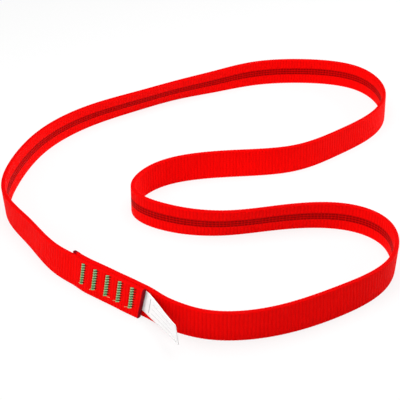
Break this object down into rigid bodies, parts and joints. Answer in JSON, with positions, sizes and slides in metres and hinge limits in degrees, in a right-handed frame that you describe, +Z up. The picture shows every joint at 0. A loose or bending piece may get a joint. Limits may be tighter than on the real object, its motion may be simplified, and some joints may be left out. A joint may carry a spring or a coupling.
{
  "type": "climbing sling",
  "caption": "Sewn loop of flat webbing for climbing, lapped and closed with bar tacks, with a folded fabric label sewn into the lap.",
  "frame": {"origin": "middle of the footprint of the standing loop, on the surface it stands on", "axes": "+Z up, across the webbing's width; +Y along the loop's longest way, towards its upper lobe; +X towards the right-hand ends of both lobes, where the loop folds back"},
  "size_m": [0.2764, 0.318, 0.0213],
  "materials": {
    "webbing": "woven, matte with a slight sheen",
    "thread": "satin thread",
    "label": "matte ribbon"
  },
  "bodies": {
    "sling": {"webbing": "webbing", "needle_thread_1": "thread", "needle_thread_2": "thread", "needle_thread_3": "thread", "needle_thread_4": "thread", "needle_thread_5": "thread", "bobbin_thread_1": "thread", "bobbin_thread_2": "thread", "bobbin_thread_3": "thread", "bobbin_thread_4": "thread", "bobbin_thread_5": "thread", "label_tab": "label"},
    "label": {"label_flap": "label"}
  },
  "joints": [
    {"name": "label_swing", "type": "hinge", "parent": "sling", "child": "label", "pos_m": [-0.03821, -0.12593, 0.01153], "axis": [-0.2082, -0.0605, -0.9762], "range_deg": [-14, 70]}
  ]
}
